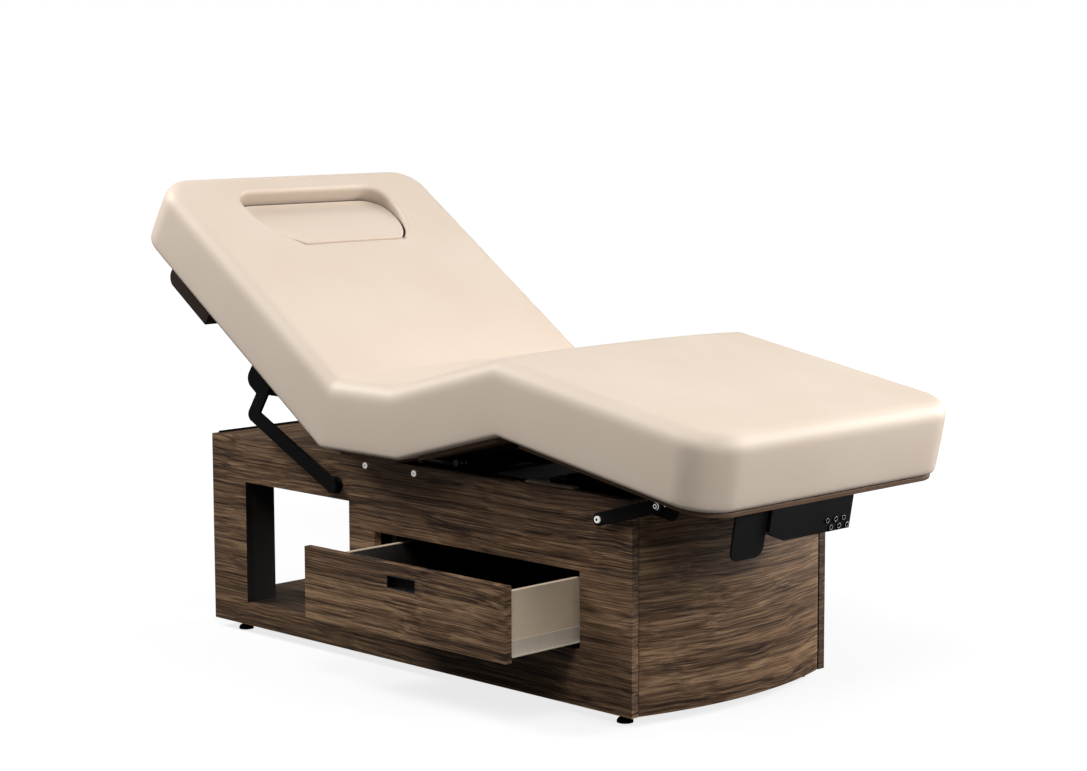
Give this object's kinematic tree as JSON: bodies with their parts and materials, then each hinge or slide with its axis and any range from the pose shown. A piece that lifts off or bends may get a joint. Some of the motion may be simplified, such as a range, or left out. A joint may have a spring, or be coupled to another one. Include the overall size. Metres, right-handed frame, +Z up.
{
  "type": "spa bed with cabinet base",
  "caption": "Spa treatment bed: a thick mattress hinged in sections with a tilting head insert, raised by arms over a wooden cabinet with an open bay and a drawer.",
  "frame": {"origin": "on the floor, at the centre of the cabinet's footprint", "axes": "+X to the foot end, +Z up, the drawer and the near side at -Y"},
  "size_m": [1.803, 0.905, 1.0521],
  "materials": {
    "dark_laminate": "satin",
    "black_board": "matt",
    "cream_board": "satin",
    "plywood": "matt",
    "brown_board": "matt",
    "cream_vinyl": "satin vinyl",
    "black_steel": "semi-gloss",
    "white_steel": "semi-gloss",
    "bright_steel": "zinc plated",
    "black_plastic": "matt",
    "grey_plastic": "matt",
    "black_rubber": "matt",
    "brown_vinyl": "satin vinyl on board"
  },
  "bodies": {
    "cabinet": {"near_side_panel": "dark_laminate", "far_side_panel": "dark_laminate", "foot_panel": "dark_laminate", "head_end_boards": "dark_laminate", "top_board": "dark_laminate", "base_board": "black_board", "inner_shelves": "black_board", "bay_walls": "black_board", "drawer_partitions": "black_board", "rubber_strip": "black_rubber", "levelling_feet": "black_plastic", "fixed_runners": "white_steel", "top_frame": "black_steel", "rest_pads": "white_steel", "frame_bolts": "bright_steel", "actuator_crossbars": "black_steel", "seat_cushion": "cream_vinyl", "back_fold": "cream_vinyl", "thigh_fold": "cream_vinyl", "seat_board": "brown_board", "seat_frame": "black_steel", "seat_hinge_pins": "bright_steel", "shaft_bushes": "black_plastic", "back_actuator": "grey_plastic", "leg_actuator": "grey_plastic", "link_pivot_bolts": "bright_steel", "power_supply": "black_plastic", "power_inlet": "black_plastic"},
    "backrest": {"back_cushion": "cream_vinyl", "back_board": "brown_board", "back_frame": "black_steel", "cam_plates": "black_steel", "head_box": "brown_vinyl", "headrest_rod": "bright_steel"},
    "headrest": {"headrest_insert": "cream_vinyl", "headrest_board": "plywood"},
    "lift_shaft": {"torque_shaft": "black_steel", "lift_arms": "black_steel"},
    "back_rod": {"back_actuator_rod": "bright_steel"},
    "thigh_rest": {"thigh_cushion": "cream_vinyl", "thigh_board": "brown_board", "thigh_frame": "black_steel", "knee_fold": "cream_vinyl", "knee_hinge_pins": "bright_steel"},
    "leg_rest": {"leg_cushion": "cream_vinyl", "leg_board": "brown_board", "leg_frame": "black_steel", "leg_brackets": "black_steel", "control_box": "black_plastic", "control_sockets": "black_plastic", "hanger_tab": "black_plastic"},
    "leg_rod": {"leg_actuator_rod": "bright_steel"},
    "near_leg_link": {"near_link": "black_steel"},
    "far_leg_link": {"far_link": "black_steel"},
    "drawer": {"drawer_front": "dark_laminate", "flush_pull": "black_plastic", "drawer_sides": "cream_board", "drawer_back": "cream_board", "drawer_floor": "cream_board", "moving_runners": "white_steel"}
  },
  "joints": [
    {"name": "back_recline", "type": "hinge", "parent": "cabinet", "child": "backrest", "pos_m": [-0.18627, 0, 0.4626], "axis": [0, 1, 0], "range_deg": [-34.6, 30], "deforming": ["back_fold"]},
    {"name": "lift_shaft_turn", "type": "hinge", "parent": "cabinet", "child": "lift_shaft", "pos_m": [-0.2251, 0, 0.3902], "axis": [0, 1, 0], "range_deg": [-34.6, 30]},
    {"name": "back_rod_slide", "type": "slide", "parent": "cabinet", "child": "back_rod", "axis": [1, 0, 0], "range_m": [-0.0266, 0.0231]},
    {"name": "headrest_tilt", "type": "hinge", "parent": "backrest", "child": "headrest", "pos_m": [-0.52279, 0, 0.9037], "axis": [0, 1, 0], "range_deg": [0, 12.1]},
    {"name": "thigh_lift", "type": "hinge", "parent": "cabinet", "child": "thigh_rest", "pos_m": [0.07854, 0, 0.4626], "axis": [0, -1, 0], "range_deg": [-14.9, 10.1], "deforming": ["thigh_fold"]},
    {"name": "knee_bend", "type": "hinge", "parent": "thigh_rest", "child": "leg_rest", "pos_m": [0.38183, 0, 0.5433], "axis": [0, -1, 0], "range_deg": [-16.91, 24.92], "deforming": ["knee_fold"]},
    {"name": "leg_rod_slide", "type": "slide", "parent": "cabinet", "child": "leg_rod", "axis": [1, 0, 0], "range_m": [-0.0158, 0.0108]},
    {"name": "near_link_turn", "type": "hinge", "parent": "cabinet", "child": "near_leg_link", "pos_m": [0.6019, 0, 0.4176], "axis": [0, -1, 0], "range_deg": [-7.5, 5.1]},
    {"name": "far_link_turn", "type": "hinge", "parent": "cabinet", "child": "far_leg_link", "pos_m": [0.6019, 0, 0.4176], "axis": [0, -1, 0], "range_deg": [-7.5, 5.1]},
    {"name": "drawer_slide", "type": "slide", "parent": "cabinet", "child": "drawer", "axis": [0, -1, 0], "range_m": [-0.204, 0.136]}
  ],
  "couplings": [
    {"joint": "lift_shaft_turn", "follows": "back_recline", "ratio": 1},
    {"joint": "back_rod_slide", "follows": "back_recline", "m_per_rad": 0.0434},
    {"joint": "knee_bend", "follows": "thigh_lift", "ratio": -1.6691},
    {"joint": "leg_rod_slide", "follows": "thigh_lift", "m_per_rad": 0.0605},
    {"joint": "near_link_turn", "follows": "thigh_lift", "ratio": 0.5},
    {"joint": "far_link_turn", "follows": "thigh_lift", "ratio": 0.5}
  ]
}
